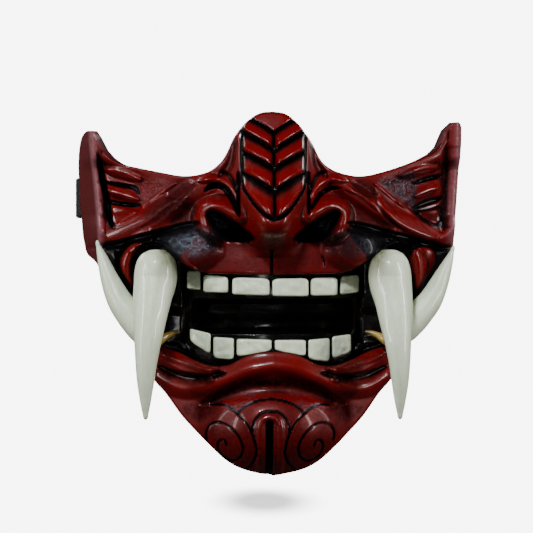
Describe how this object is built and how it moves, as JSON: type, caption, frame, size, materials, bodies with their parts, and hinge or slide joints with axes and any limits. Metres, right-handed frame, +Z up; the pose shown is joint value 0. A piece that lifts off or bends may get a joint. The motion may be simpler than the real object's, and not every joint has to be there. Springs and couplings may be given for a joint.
{
  "type": "oni half mask",
  "caption": "Red lacquered ogre half mask for the lower face, with an open toothed mouth, long hanging fangs, upswept tusks and an elastic head strap.",
  "frame": {"origin": "the hollow side of the mask's nose bridge, where the bridge of the wearer's nose carries it", "axes": "+Z up as worn, -Y the way the mask faces, +X to the right of somebody who looks at the face"},
  "size_m": [0.2056, 0.2019, 0.1814],
  "materials": {
    "lacquer": "cast resin, glossy deep red lacquer with black paint wiped into the hollows",
    "mouth_black": "cast resin, gloss black",
    "ivory": "cast resin, satin ivory white with faint yellow stains at the roots",
    "elastic": "woven black elastic band",
    "anchor_plate": "matt black"
  },
  "bodies": {
    "root": {"mask_shell": "lacquer", "mouth_pocket": "mouth_black", "upper_tooth_1": "ivory", "upper_tooth_2": "ivory", "upper_tooth_3": "ivory", "upper_tooth_4": "ivory", "upper_tooth_5": "ivory", "upper_tooth_6": "ivory", "lower_tooth_1": "ivory", "lower_tooth_2": "ivory", "lower_tooth_3": "ivory", "lower_tooth_4": "ivory", "lower_tooth_5": "ivory", "lower_tooth_6": "ivory", "upper_fang_left": "ivory", "upper_fang_right": "ivory", "lower_tusk_left": "ivory", "lower_tusk_right": "ivory", "head_strap": "elastic", "strap_anchor_left": "anchor_plate", "strap_anchor_right": "anchor_plate"}
  },
  "joints": []
}
